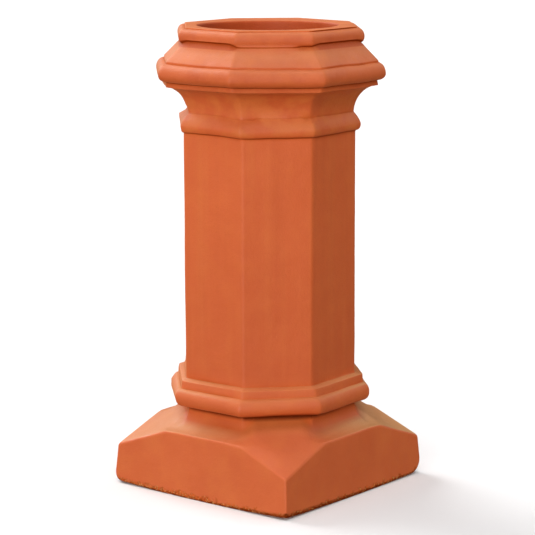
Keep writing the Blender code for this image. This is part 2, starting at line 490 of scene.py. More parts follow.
def flue_outline():
    """From the foot of the flue to the inner edge of the rim, rounded at the mouth."""
    throat = (FLUE_RADIUS, HEIGHT - RIM_ROUND)
    mouth = (FLUE_RADIUS + RIM_ROUND, HEIGHT)
    rounding = [mouth] + quarter_out(mouth, throat)
    return [(FLUE_RADIUS, FLUE_FOOT_Z)] + rounding[::-1]


def spaced(points, gap):
    """Points every gap along a line, and the gap as it comes out."""
    points = np.asarray(points, dtype=float)
    steps = np.hypot(*np.diff(points, axis=0).T)
    along = np.concatenate([[0.0], np.cumsum(steps)])
    count = int(along[-1] / gap) + 1
    at = np.linspace(0.0, along[-1], count)
    line = np.column_stack([np.interp(at, along, column) for column in points.T])
    return line, at[1]


def softened(line, gap, width):
    """The line with its corners rounded over about that width, and its ends in place."""
    reach = int(3 * width / gap)
    weights = np.exp(-0.5 * (np.arange(-reach, reach + 1) * gap / width) ** 2)
    weights /= weights.sum()
    before = 2 * line[0] - line[reach:0:-1]
    after = 2 * line[-1] - line[-2 : -reach - 2 : -1]
    padded = np.vstack([before, line, after])
    return np.column_stack([np.convolve(column, weights, "valid") for column in padded.T])


def thinned(line, gap):
    """Fewer points: close together where the line turns, and far apart where it is straight."""
    heading = np.unwrap(np.arctan2(np.gradient(line[:, 1]), np.gradient(line[:, 0])))
    turn = np.abs(np.gradient(heading)) / gap
    crowd = np.clip(turn / TURN_PER_RING, 1 / COARSE_GAP, 1 / FINE_GAP)
    spread = np.ones(int(FINE_GAP / gap) * 2 + 1)
    crowd = np.convolve(np.pad(crowd, len(spread) // 2, "edge"), spread / len(spread), "valid")
    tally = np.concatenate([[0.0], np.cumsum((crowd[1:] + crowd[:-1]) / 2 * gap)])
    marks = np.linspace(0.0, tally[-1], int(round(tally[-1])) + 1)
    return np.column_stack([np.interp(marks, tally, column) for column in line.T])


# Plans: how a half becomes a point at each direction


def from_middle(phi, sides, facing=0.0):
    """Angle of each direction from the middle of the nearest side."""
    side = math.tau / sides
    return (phi - facing + side / 2) % side - side / 2


def quarter_of(phi, start=0.0):
    """Which quarter each direction lies in, counted from start."""
    return np.floor(((phi - start) % math.tau) / (math.pi / 2)).astype(int) % 4


def polygon(half, phi, sides, rounding):
    """Distance from the axis to a polygon with rounded corners, one side facing along X."""
    off = np.abs(from_middle(phi, sides))
    corner = math.pi / sides
    centre = (half - rounding) / math.cos(corner)
    to_corner = corner - off
    inside = np.maximum(rounding**2 - (centre * np.sin(to_corner)) ** 2, 0.0)
    on_round = centre * np.cos(to_corner) + np.sqrt(inside)
    flat = half / np.cos(off)
    return np.where(half * np.tan(off) > (half - rounding) * math.tan(corner), on_round, flat)


def smooth_least(a, b, width):
    """The lower of two heights, blended where they are close."""
    mix = np.clip(0.5 + 0.5 * (b - a) / width, 0.0, 1.0)
    return b * (1 - mix) + a * mix - width * mix * (1 - mix)


def smooth_step(x, low, high):
    """Share that rises softly from 0 at low to 1 at high."""
    t = np.clip((x - low) / (high - low), 0.0, 1.0)
    return t * t * (3 - 2 * t)


def flare_height(half):
    """Height of the hollow flare above a side of the foot that faces along X or Y."""
    span = foot_half(LEDGE_Z) - SHAFT_HALF
    cosine = np.clip((foot_half(LEDGE_Z) - half) / span, 0.0, 1.0)
    return FLARE_TOP_Z - FLARE_RISE * np.sqrt(1 - cosine**2)


def hollow_rise(half):
    """How far a sloped corner's hollow rises above its plane, near the neck."""
    end = SHAFT_HALF + HIP_HOLLOW
    t = np.sqrt(np.clip((half - SHAFT_HALF) / HIP_HOLLOW, 0.0, 1.0))
    curve = curve_between(FLARE_TOP_Z, hip_height(SHAFT_HALF), hip_height(end), t)
    return np.where(half > end, 0.0, curve - hip_height(half))


def hip_planes():
    """Each sloped corner's plane, through the ends of its two ledges and the foot's corner."""
    wall, corner = foot_half(LEDGE_Z), foot_half(CORNER_HEIGHT)
    planes = []
    for hip in range(4):
        a, b = LEDGE_HALVES[2 * hip], LEDGE_HALVES[2 * hip + 1]
        places = np.array([(1.0, wall, a), (1.0, b, wall), (1.0, corner, corner)])
        planes.append(np.linalg.solve(places, np.array([LEDGE_Z, LEDGE_Z, CORNER_HEIGHT])))
    return np.array(planes)


HIP_PLANES = hip_planes()


def front_fold(x, y):
    """How far the front sloped corner rises behind the flatter strip pressed along its left edge."""
    wall = foot_half(LEDGE_Z)
    fold_y = FOLD_START[1] + (x - FOLD_START[0]) * FOLD_SLANT
    from_left = np.clip(np.minimum(y, fold_y) + wall, 0.0, None)
    from_right = np.clip((wall - x) / FOLD_FADE, 0.0, 1.0)
    return np.where((x > 0) & (y < 0), from_left * from_right * FOLD_TILT, 0.0)


def foot_top(radius, phi, ridge_round):
    """Height of the top of the foot: the flares and the sloped corners meet in soft ridges."""
    to_side = radius * np.cos(from_middle(phi, 4))
    off = from_middle(phi, 4, math.pi / 4)
    to_corner = radius * np.cos(off)
    flare = flare_height(to_side)
    hip_at = quarter_of(phi)
    turned = phi - hip_at * math.pi / 2
    level, along, across = HIP_PLANES[hip_at].T
    hip = level + radius * (along * np.cos(turned) + across * np.sin(turned)) + hollow_rise(to_corner)
    near_ridge = smooth_step(np.abs(off), *RIDGE_BLEND)
    hip = hip + (np.minimum(hip, flare_height(to_corner)) - hip) * near_ridge
    hip = hip + front_fold(radius * np.cos(phi), radius * np.sin(phi))
    return smooth_least(flare, hip, ridge_round)


def inner_roof(radius, phi):
    """Height of the roof of the hollow foot, a wall's thickness under its top."""
    to_side = radius * np.cos(from_middle(phi, 4))
    to_corner = radius * np.cos(from_middle(phi, 4, math.pi / 4))
    roof_z = LEDGE_Z - ROOF_WALL
    edge = foot_half(roof_z) - FOOT_WALL
    fall = (FLARE_TOP_Z - ROOF_WALL - roof_z) / (edge - FLUE_RADIUS)
    flat = FLARE_TOP_Z - ROOF_WALL - (to_side - FLUE_RADIUS) * fall
    slope = LEDGE_RISE / (hip_corner() - hip_shoulder())
    hip = hip_height(to_corner) - ROOF_WALL * math.hypot(1.0, slope)
    return np.minimum(flat, hip)


def meeting(phi, half_at, rounding, top_at):
    """Radius and height at which the walls of a square meet what lies on top of them."""
    z = np.full_like(phi, LEDGE_Z)
    for _ in range(MEETING_ROUNDS):
        radius = polygon(half_at(z), phi, 4, rounding)
        z = top_at(radius, phi)
    return radius, z


def edge_wear(phi):
    """How high the wear of the foot's lower edge reaches."""
    turns, heights = zip(*EDGE_WEAR)
    return np.interp(np.degrees(phi), turns, heights, period=360)


def foot_rounding(phi, z):
    """Radius of the foot's upright corners, which widens towards the ground."""
    corner = quarter_of(phi)
    reach = np.array(FOOT_TOE_HEIGHTS)[corner]
    near = np.clip(1 - (z + foot_bow(phi)) / reach, 0.0, 1.0)
    return FOOT_CORNER_ROUND + np.array(FOOT_TOE_ROUNDS)[corner] * near**2


def foot_bow(phi):
    """How far the lower edge of the foot hangs below its corners."""
    along = np.tan(from_middle(phi, 4))
    return np.array(FOOT_BOWS)[quarter_of(phi, -math.pi / 4)] * (1 - along**2)


def columns():
    """Directions of the columns, crowded at the arrises and at the foot's corners."""
    marks = set()
    for place, offsets in (
        (FIRST_ARRIS, ARRIS_OFFSETS),
        (SECOND_ARRIS, ARRIS_OFFSETS),
        (CORNER, CORNER_OFFSETS),
    ):
        for off in offsets:
            marks |= {place - off, place + off}
    edge, corner = ARRIS_OFFSETS[-1], CORNER_OFFSETS[-1]
    spans = (
        (-FIRST_ARRIS + edge, FIRST_ARRIS - edge),
        (FIRST_ARRIS + edge, CORNER - corner),
        (CORNER + corner, SECOND_ARRIS - edge),
    )
    for low, high in spans:
        count = int(round((high - low) / FACE_STEP))
        marks |= {low + (high - low) * step / count for step in range(count + 1)}
    quarter = sorted(mark for mark in marks if -FIRST_ARRIS < mark <= SECOND_ARRIS + 1e-9)
    quarter = [
        mark for i, mark in enumerate(quarter) if i == 0 or mark - quarter[i - 1] > CLOSEST_COLUMNS
    ]
    turns = [math.radians(mark + QUARTER * turn) for turn in range(4) for mark in quarter]
    return np.array(sorted(turn % math.tau for turn in turns))


def divided(phi, times):
    """The directions with more of them, evenly between each two."""
    ends = np.append(phi, phi[0] + math.tau)
    at = np.arange(len(phi) * times) / times
    return np.interp(at, np.arange(len(ends)), ends)


# The skin


def upper_rings(shape):
    """Flue, rim, head, shaft and base mouldings, from the foot of the flue round to the foot's neck."""
    whole = flue_outline() + head_outline() + base_outline()
    line, gap = spaced(whole, OUTLINE_GAP)
    line = thinned(softened(line, gap, shape.crease_softness), gap)
    peak = int(np.argmax(line[:, 1]))
    mouth = FLUE_RADIUS + RIM_ROUND
    rings = []
    for i, (half, z) in enumerate(line):
        if i < peak and half < mouth + MOUTH_MARGIN:
            share = 0.0
        elif i < peak or z > HEIGHT - RIM_DEPTH:
            share = smooth_step(half, mouth, RIM_HALF - SIDED_BEFORE_EDGE)
        else:
            share = 1.0
        rings.append((float(half), float(z), float(share)))
    return rings


def around(phi, radius, z):
    """Points at each direction, with their radius and height."""
    return np.column_stack([radius * np.cos(phi), radius * np.sin(phi), z])


def moulding_ring(phi, half, z, share, shape):
    """One level of the shaft or its mouldings, round inside and eight-sided outside."""
    sided = polygon(half, phi, SIDES, shape.arris_round)
    return around(phi, half + (sided - half) * share, np.full_like(phi, z))


def foot_rings(phi, shape):
    """Every level of the foot for these directions: its top, walls, underside and hollow."""
    ridge, round_by = shape.ridge_round, shape.edge_round
    reach, top_z = meeting(
        phi, foot_half, FOOT_CORNER_ROUND, lambda radius, at: foot_top(radius, at, ridge)
    )
    neck = polygon(SHAFT_HALF, phi, SIDES, shape.arris_round)
    rings = []

    near = reach - round_by
    near_z = foot_top(near, phi, ridge)
    for step in range(1, TOP_RINGS + 1):
        radius = neck + (near - neck) * math.sin(math.pi / 2 * step / TOP_RINGS) ** TOP_CROWDING
        rings.append(around(phi, radius, foot_top(radius, phi, ridge)))

    below_z = top_z - round_by
    below = polygon(foot_half(below_z), phi, 4, FOOT_CORNER_ROUND)
    start, corner = around(phi, near, near_z), around(phi, reach, top_z)
    end = around(phi, below, below_z)
    for step in range(1, EDGE_RINGS + 1):
        rings.append(curve_between(start, corner, end, step / EDGE_RINGS))

    lowest = -foot_bow(phi)
    under = edge_wear(phi)
    for share in WALL_LEVELS:
        z = below_z + (lowest + under - below_z) * share
        rings.append(around(phi, polygon(foot_half(z), phi, 4, foot_rounding(phi, z)), z))
    outer = polygon(foot_half(lowest), phi, 4, foot_rounding(phi, lowest))
    toe = outer - under * TOE_SLANT
    start, end = rings[-1], around(phi, toe, lowest)
    slant = (start + end) / 2
    corner = slant + (around(phi, outer, lowest) - slant) * TOE_ROUNDNESS
    for step in range(1, BOTTOM_RINGS + 1):
        rings.append(curve_between(start, corner, end, step / BOTTOM_RINGS))
    inner = polygon(foot_half(lowest) - FOOT_WALL, phi, 4, FOOT_CORNER_ROUND)
    for share in UNDERSIDE_LEVELS:
        rings.append(around(phi, toe + (inner - toe) * share, lowest))

    roof, roof_z = meeting(phi, lambda z: foot_half(z) - FOOT_WALL, FOOT_CORNER_ROUND, inner_roof)
    for share in HOLLOW_LEVELS:
        z = lowest + (roof_z - lowest) * share
        rings.append(around(phi, polygon(foot_half(z) - FOOT_WALL, phi, 4, FOOT_CORNER_ROUND), z))
    for share in ROOF_LEVELS:
        radius = roof + (FLUE_RADIUS - roof) * share
        rings.append(around(phi, radius, inner_roof(radius, phi)))
    return rings


def stitched(rings):
    """Faces between each two neighbouring rings, the last one joined to the first."""
    starts = np.cumsum([0] + [len(ring) for ring in rings])
    faces = []
    for i, ring in enumerate(rings):
        after = (i + 1) % len(rings)
        n, m = len(ring), len(rings[after])
        a, b = starts[i], starts[after]
        if n == m:
            for j in range(n):
                k = (j + 1) % n
                faces.append((a + j, a + k, b + k, b + j))
            continue
        fine, coarse, count, flip = (b, a, n, False) if m > n else (a, b, m, True)
        for j in range(count):
            k = (j + 1) % count
            f0, f1, f2 = fine + 2 * j, fine + 2 * j + 1, fine + (2 * j + 2) % (2 * count)
            c0, c1 = coarse + j, coarse + k
            three = [(c0, f1, f0), (c0, c1, f1), (c1, f2, f1)]
            faces += [face[::-1] for face in three] if flip else three
    return faces


def corner_moves(points):
    """How far each point moves with the arrises beside it that stand out of true."""
    phi = np.arctan2(points[:, 1], points[:, 0])
    eighth = math.tau / SIDES
    side = np.floor((phi - eighth / 2) / eighth).astype(int) % SIDES
    along = 0.5 + 0.5 * np.tan(from_middle(phi, SIDES)) / math.tan(eighth / 2)
    moves = np.zeros((SIDES, len(points), 3))
    for corner, knots in CORNER_MOVES.items():
        heights, *steps = zip(*knots)
        for axis, step in enumerate(steps):
            moves[corner, :, axis] = np.interp(points[:, 2], heights, step) * MILLIMETRE
    every = np.arange(len(points))
    first, second = moves[side, every], moves[(side + 1) % SIDES, every]
    return first + (second - first) * along[:, None]


def smeared(points):
    """How far smears push each point."""
    phi = np.arctan2(points[:, 1], points[:, 0])
    outward = np.column_stack([np.cos(phi), np.sin(phi)])
    pushed = np.zeros_like(points)
    for side, side_reach, z, z_reach, out, up in SMEARS:
        off = np.abs((phi - math.radians(side - QUARTER) + math.pi) % math.tau - math.pi)
        near = smooth_step(1 - off / math.radians(side_reach), 0.0, SMEAR_FADE_ASIDE)
        near = near * smooth_step(1 - np.abs(points[:, 2] - z) / z_reach, 0.0, SMEAR_FADE_UP)
        pushed[:, :2] += outward * (near * out * MILLIMETRE)[:, None]
        pushed[:, 2] += near * up * MILLIMETRE
    return pushed


def settled(points, share, shape):
    """The skin turned, shifted and smeared as the hand-pressed pot is, each point by its share."""
    heights, turns = zip(*TURNS)
    turn = np.radians(np.interp(points[:, 2], heights, turns)) * share * shape.unevenness
    moved = points + (corner_moves(points) + smeared(points)) * (share * shape.unevenness)[:, None]
    x, y, z = moved.T
    cosine, sine = np.cos(turn), np.sin(turn)
    heights, along_x, along_y = zip(*SHIFTS)
    dx = np.interp(points[:, 2], heights, along_x) * share * shape.unevenness
    dy = np.interp(points[:, 2], heights, along_y) * share * shape.unevenness
    far = np.clip((x * FAR_SIDE[0] + y * FAR_SIDE[1]) / FLUE_RADIUS, 0.0, 1.0)
    z = z - shape.rim_sag * far * (1 - share) * smooth_step(z, *SAG_HEIGHTS)
    return np.column_stack([x * cosine - y * sine + dx, x * sine + y * cosine + dy, z])


def spot(x, y, z, across, up, along_x=0.0, along_z=0.0):
    """Where a place of the skin lies in a pattern of waves."""
    return Vector((x * across + along_x, y * across, z * up + along_z))


def waved(points, outward, shape):
    """Shallow waves and dents over the whole skin, and a chipped lower edge."""
    moved = points.copy()
    for i, (x, y, z) in enumerate(points):
        slow = noise.noise(spot(x, y, z, *SLOW_WAVES))
        quick = noise.noise(spot(x, y, z, *QUICK_WAVES))
        lift = noise.noise(spot(x, y, z, *LIFTS))
        push = (slow * SLOW_SHARE + quick * QUICK_SHARE) * shape.waviness
        if z < CRUMB_HEIGHT:
            near = 1 - z / CRUMB_HEIGHT
            worn = MEAN_WORN + WORN_SPREAD * noise.noise(spot(x, y, z, *WORN_STRETCHES))
            rough = noise.turbulence(spot(x, y, z, *CHIPS), CHIP_OCTAVES, False)
            crumb = noise.noise(spot(x, y, z, *CRUMBS))
            depth = max(0.0, rough - CHIP_LEVEL) * near**CHIP_FADE
            push -= depth * shape.chips * max(LEAST_WORN, worn)
            push += crumb * near**2 * CRUMB_SHARE * shape.chips
        moved[i, 0] += outward[i, 0] * push
        moved[i, 1] += outward[i, 1] * push
        if z > FLARE_TOP_Z:
            lift = LIFT_SHARE * lift + QUICK_LIFT_SHARE * noise.noise(spot(x, y, z, *QUICK_LIFTS))
        fading = min(z, HEIGHT - z + LIFT_AT_TOP, LIFT_FADE) / LIFT_FADE
        moved[i, 2] += lift * shape.waviness * fading
    return moved


def skin(shape):
    """Points and faces of the whole pot."""
    phi = columns()
    finer = {1: phi, 2: divided(phi, 2), 4: divided(phi, 4)}
    rings, shares = [], []
    for half, z, share in upper_rings(shape):
        rings.append(moulding_ring(phi, half, z, share, shape))
        shares.append(np.full(len(phi), share))
    by_fineness = {times: foot_rings(at, shape) for times, at in finer.items()}
    for i in range(len(by_fineness[1])):
        times = 4 if i in FOUR_TIMES_AS_FINE else 2 if i in TWICE_AS_FINE else 1
        ring = by_fineness[times][i]
        rings.append(ring)
        outside = np.hypot(ring[:, 0], ring[:, 1]) > SHAFT_HALF - NECK_MARGIN
        shares.append(smooth_step(ring[:, 2], *FOLLOWS_SHAFT) * outside)
    faces = stitched(rings)
    points = settled(np.vstack(rings), np.concatenate(shares), shape)
    points[:, 2] += BOW
    return points * (HEIGHT / (HEIGHT + BOW)), faces


def read_vectors(items, name):
    """A vector of every item of a mesh, as rows."""
    values = np.empty(len(items) * 3)
    items.foreach_get(name, values)
    return values.reshape(-1, 3)


def neighbour_ends(mesh):
    """The two ends of every edge of a mesh, as two rows."""
    ends = np.empty(len(mesh.edges) * 2, dtype=np.int64)
    mesh.edges.foreach_get("vertices", ends)
    return ends.reshape(-1, 2).T


def spread_out(values, ends, times):
    """The values, each blended with its neighbours' a few times."""
    a, b = ends
    count = np.bincount(a, minlength=len(values)) + np.bincount(b, minlength=len(values))
    for _ in range(times):
        total = np.bincount(a, values[b], len(values)) + np.bincount(b, values[a], len(values))
        values = 0.5 * values + 0.5 * total / count
    return values


def edge_bend(points, normals, ends):
    """How sharply the skin bends at each point: positive on edges, negative in creases."""
    a, b = ends
    away = points[b] - points[a]
    length = np.maximum(np.linalg.norm(away, axis=1), 1e-6) ** 2
    bend_a = -np.einsum("ij,ij->i", away, normals[a]) / length
    bend_b = np.einsum("ij,ij->i", away, normals[b]) / length
    total = np.bincount(a, bend_a, len(points)) + np.bincount(b, bend_b, len(points))
    count = np.bincount(a, minlength=len(points)) + np.bincount(b, minlength=len(points))
    return np.clip(spread_out(total / count, ends, 2) / SHARP_BEND, -1.0, 1.0)


def shelter(points, normals, mesh, ends):
    """Share of the open air round each point that near parts of the pot keep from it."""
    tree = BVHTree.FromPolygons(points.tolist(), [tuple(face.vertices) for face in mesh.polygons])
    turns = [math.tau * (step + 0.5) / SHELTER_TURNS for step in range(SHELTER_TURNS)]
    tilts = [math.asin(math.sqrt((step + 0.5) / SHELTER_TILTS)) for step in range(SHELTER_TILTS)]
    fan = [
        Vector((math.sin(tilt) * math.cos(turn), math.sin(tilt) * math.sin(turn), math.cos(tilt)))
        for tilt in tilts
        for turn in turns
    ]
    kept = np.zeros(len(points))
    up = Vector((0.0, 0.0, 1.0))
    for i, (place, normal) in enumerate(zip(points, normals)):
        outward = Vector(normal)
        start = Vector(place) + outward * SHELTER_LIFT
        turned = up.rotation_difference(outward)
        for ray in fan:
            distance = tree.ray_cast(start, turned @ ray, SHELTER_REACH)[3]
            if distance is not None:
                kept[i] += 1 - distance / SHELTER_REACH
    return spread_out(kept / len(fan), ends, 2)


def pot_mesh(shape):
    """The pot's skin as a mesh that carries how sharp and how sheltered each place is."""
    points, faces = skin(shape)
    mesh = bpy.data.meshes.new("clay skin")
    mesh.from_pydata(points.tolist(), [], [tuple(int(v) for v in face) for face in faces])
    mesh.update()
    normals = read_vectors(mesh.vertices, "normal")
    top = int(np.argmax(points[:, 2]))
    if normals[top, 2] < 0:
        mesh.flip_normals()
        mesh.update()
        normals = read_vectors(mesh.vertices, "normal")
    moved = waved(points, normals, shape)
    mesh.vertices.foreach_set("co", moved.ravel())
    mesh.update()

    normals = read_vectors(mesh.vertices, "normal")
    ends = neighbour_ends(mesh)
    for name, values in (
        ("edge", edge_bend(moved, normals, ends)),
        ("shelter", shelter(moved, normals, mesh, ends)),
    ):
        mesh.attributes.new(name, "FLOAT", "POINT").data.foreach_set("value", values)
    mesh.shade_smooth()
    return mesh


# The clay's finish, and the shade and light painted on it

# Sockets of a Mix node that mixes colours: its two colours, and the one that comes out
MIX_FROM, MIX_TO, MIX_OUT = 6, 7, 2

# Noise patterns: scale, detail, the levels at which they start and are full, and any stretch
RED_PATCHES = (11, 3, 0.35, 0.7)
PALE_PATCHES = (30, 4, 0.45, 0.75)
PALE_STREAKS = (1.0, 3, 0.5, 0.8, (60, 60, 3.0))
RED_STREAKS = (1.0, 3, 0.52, 0.8, (45, 45, 2.2))
HEAD_PATCHES = (19, 3, 0.48, 0.66)
HOLLOW_BLOTCHES = (30, 3, 0.42, 0.62)
CREASE_PATCHES = (9, 2, 0.3, 0.6)
RAGGED_LINE = (70, 4, 0.3, 0.7)
PITS = (190, 3, 0.42, 0.58)
PALE_CRUMBS = (330, 2, 0.56, 0.62)
RED_GRIT = (620, 2, 0.55, 0.75)
PALE_GRIT = (480, 2, 0.62, 0.8)

# Heights at which each finish, painted shade and painted light starts and is full
SHAFT_FOOT, SHAFT_TOP = (0.17, 0.21), (0.64, 0.59)
SHAFT_LIGHTER, SHAFT_REDDER = (0.10, 0.60), (0.50, 0.20)
HEAD_FOOT = (0.665, 0.675)
HOLLOW_FOOT, HOLLOW_TOP = (0.590, 0.600), (0.672, 0.655)
DUST_AND_SHEEN_FOOT, ABOVE_FOOT = (0.30, 0.13), (0.14, 0.17)
ROLL_SHADE_FOOT, ROLL_SHADE_TOP = (0.7312, 0.7324), (0.7430, 0.7400)
SLOPE_DUST_AND_LIGHT_TOP, SLOPE_DUST_AND_LIGHT_FOOT = (0.7318, 0.7308), (0.7080, 0.7280)
SHEEN_SIDE_FOOT = (0.10, 0.15)
TORUS_SHADOW_FOOT, TORUS_SHADOW_TOP = (0.1325, 0.1380), (0.20, 0.16)
CRUMBLED_TOP, CRUMBLED_UNEVENNESS = (0.015, 0.010), 0.009
BEVEL_TOP = (0.022, 0.014)

# How far a face looks up, from -1 to 1, at which each finish, painted shade and painted light starts and is
# full
LYING, ON_HEAD, RUBBED = (0.60, 0.85), (0.15, 0.75), (0.1, 0.5)
ROLL_SHADE_FACE, SLOPE_FACE = (0.1, 0.3), (0.4, 0.6)
SOFFIT, BEVEL = (-0.2, -0.7), (-0.08, -0.28)

# Bends of the skin and shares of shelter at which each finish and each painted shade starts and is full,
# and over which the shine is cut as painted shade
RUBBED_EDGE, CREASE = (0.3, 1.0), (-0.15, -0.8)
SOFFIT_SHELTER, TORUS_SHELTER, SHINE_SHADE_SHELTER = (0.03, 0.2), (0.20, 0.30), (0.05, 0.30)

# Distance from the axis at which the flue's darker colour, a painted shade, starts and is full
FLUE = (0.1175, 0.1155)

# X less Y, which is greatest at the front: where the foot's dusty tan and painted sheen, and the painted
# shade under the top roll, which the front lacks, start and are full
DUST_AND_SHEEN_FROM_FRONT, ROLL_SHADE_FROM_FRONT = (0.24, 0.10), (0.206, 0.200)

# The foot's dusty tan and painted sheen lie thicker towards +X: the places along X, and their shares there
DUST_AND_SHEEN_ALONG_X = (-0.18, 0.18, 0.46, 1.0)

# How far a face looks along X, from -1 to 1, at which the painted pale sheen on faces towards -X starts and
# is full
SHEEN_SIDE = (-0.45, -0.70)

# Shares of the clay's shine that are left: cut as painted shade in creases, in sheltered places and in the
# flue, and on the dirty lower edge and on undersides, where it is cut as painted shade as well
SHINE_CREASED, SHINE_SHELTERED, SHINE_IN_FLUE, SHINE_DIRTY_AND_SHADED = 0.2, 0.15, 0.6, 0.1
SHEEN_ROUGHNESS = 0.45

# Fine relief and roughness: scale and detail of the grain, and how high it stands
GRAIN, FINE_GRAIN = (60, 4), (420, 5)
GRAIN_HEIGHT, FINE_GRAIN_HEIGHT = 0.0015, 0.0006
RELIEF_STRENGTH = 0.5
GRAIN_LEVELS = (0.3, 0.7)
ROUGHNESS_SPREAD = 0.06

# The plain floor, and how steeply a view has to point down to meet the glow from below
FLOOR_REACH = 60.0
FLOOR_ROUGHNESS = 0.9
FLOOR_MOTTLE = 3.0
FLOOR_DARKEST = 0.985
GLOW_START = -0.001


def add_node(tree, kind, **settings):
    """A node of that kind, with its own settings and the values of its inputs."""
    made = tree.nodes.new(kind)
    for name, value in settings.items():
        if hasattr(made, name):
            setattr(made, name, value)
        else:
            made.inputs[name].default_value = value
    return made


def clay_material(look):
    """Matt unglazed terracotta: mottled, streaked, gritty, rubbed on its edges, with painted shade and
    light.
    """
    material = bpy.data.materials.new("weathered terracotta")
    material.use_nodes = True
    tree = material.node_tree
    link = tree.links.new
    shader = tree.nodes["Principled BSDF"]
    shader.inputs["Sheen Roughness"].default_value = SHEEN_ROUGHNESS
    shader.inputs["Sheen Tint"].default_value = (*look.dust_and_sheen, 1.0)
    place = add_node(tree, "ShaderNodeTexCoord").outputs["Object"]

    def between(value, start, full, least=0.0, most=1.0):
        """The value spread from least at start to most at full, and held beyond them."""
        spans = {"From Min": start, "From Max": full, "To Min": least, "To Max": most}
        spread = add_node(tree, "ShaderNodeMapRange", **spans)
        link(value, spread.inputs["Value"])
        return spread.outputs["Result"]

    def product(total, *shares):
        """All of them multiplied together."""
        for share in shares:
            both = add_node(tree, "ShaderNodeMath", operation="MULTIPLY")
            link(total, both.inputs[0])
            if isinstance(share, float):
                both.inputs[1].default_value = share
            else:
                link(share, both.inputs[1])
            total = both.outputs[0]
        return total

    def grain(scale, detail, stretch=None):
        """Noise of that scale, stretched along the axes if need be."""
        source = place
        if stretch:
            mapping = add_node(tree, "ShaderNodeMapping", Scale=stretch)
            link(place, mapping.inputs["Vector"])
            source = mapping.outputs["Vector"]
        made = add_node(tree, "ShaderNodeTexNoise", Scale=scale, Detail=detail)
        link(source, made.inputs["Vector"])
        return made.outputs["Fac"]

    def speckle(scale, detail, start, full, stretch=None):
        """One of the noise patterns."""
        return between(grain(scale, detail, stretch), start, full)

    def parts(vector):
        """The X, Y and Z of a vector."""
        split = add_node(tree, "ShaderNodeSeparateXYZ")
        link(vector, split.inputs["Vector"])
        return split.outputs

    along_x, along_y, height = parts(place)
    facing_x, _, upward = parts(add_node(tree, "ShaderNodeTexCoord").outputs["Normal"])
    edge = add_node(tree, "ShaderNodeAttribute", attribute_name="edge").outputs["Fac"]
    sheltered = add_node(tree, "ShaderNodeAttribute", attribute_name="shelter").outputs["Fac"]
    difference = add_node(tree, "ShaderNodeMath", operation="SUBTRACT")
    link(along_x, difference.inputs[0])
    link(along_y, difference.inputs[1])
    frontward = difference.outputs[0]
    flat = add_node(tree, "ShaderNodeMapping", Scale=(1.0, 1.0, 0.0))
    link(place, flat.inputs["Vector"])
    from_axis = add_node(tree, "ShaderNodeVectorMath", operation="LENGTH")
    link(flat.outputs["Vector"], from_axis.inputs[0])

    # Where each finish lies, and where shade and light are painted
    on_shaft = product(between(height, *SHAFT_FOOT), between(height, *SHAFT_TOP))
    in_hollow = product(between(height, *HOLLOW_FOOT), between(height, *HOLLOW_TOP))
    foot_but_front = product(between(height, *DUST_AND_SHEEN_FOOT), between(frontward, *DUST_AND_SHEEN_FROM_FRONT))
    # Faces that look up, above the foot: dusty, and paler as painted light from above
    on_head = product(between(upward, *ON_HEAD), between(height, *ABOVE_FOOT))
    # The foot's up-facing corners but the front: dusty, and tan as painted sheen
    lying = product(between(upward, *LYING), foot_but_front)
    # The band under the top roll but the front, made darker as painted shade
    roll_shade = product(between(height, *ROLL_SHADE_FOOT), between(height, *ROLL_SHADE_TOP))
    roll_shade = product(roll_shade, between(frontward, *ROLL_SHADE_FROM_FRONT))
    # The weathering slope's up-facing part: dusty, and paler as painted light
    on_slope = product(between(height, *SLOPE_DUST_AND_LIGHT_TOP), between(height, *SLOPE_DUST_AND_LIGHT_FOOT))
    # Faces that look towards -X, made paler and tan as painted sheen
    weathered = product(between(facing_x, *SHEEN_SIDE), between(height, *SHEEN_SIDE_FOOT))
    # Creases, made darker as painted shade
    crease_shade = product(between(edge, *CREASE), speckle(*CREASE_PATCHES))
    # Sheltered undersides, made darker as painted shade
    soffit_shade = product(between(upward, *SOFFIT), between(sheltered, *SOFFIT_SHELTER))
    # The sheltered neck under the torus, made darker as painted shadow
    torus_shadow = product(between(sheltered, *TORUS_SHELTER), between(height, *TORUS_SHADOW_FOOT))
    # Inside the flue, made darker as painted shade
    in_flue = between(from_axis.outputs["Value"], *FLUE)
    ragged = add_node(tree, "ShaderNodeMath", operation="MULTIPLY_ADD")
    link(speckle(*RAGGED_LINE), ragged.inputs[0])
    ragged.inputs[1].default_value = CRUMBLED_UNEVENNESS
    link(height, ragged.inputs[2])
    crumbled = between(ragged.outputs[0], *CRUMBLED_TOP)
    # The foot's down-facing lower edge: dirt at the ground, and darker as painted shade
    bevel_dirt_and_shade = product(between(upward, *BEVEL), between(height, *BEVEL_TOP))

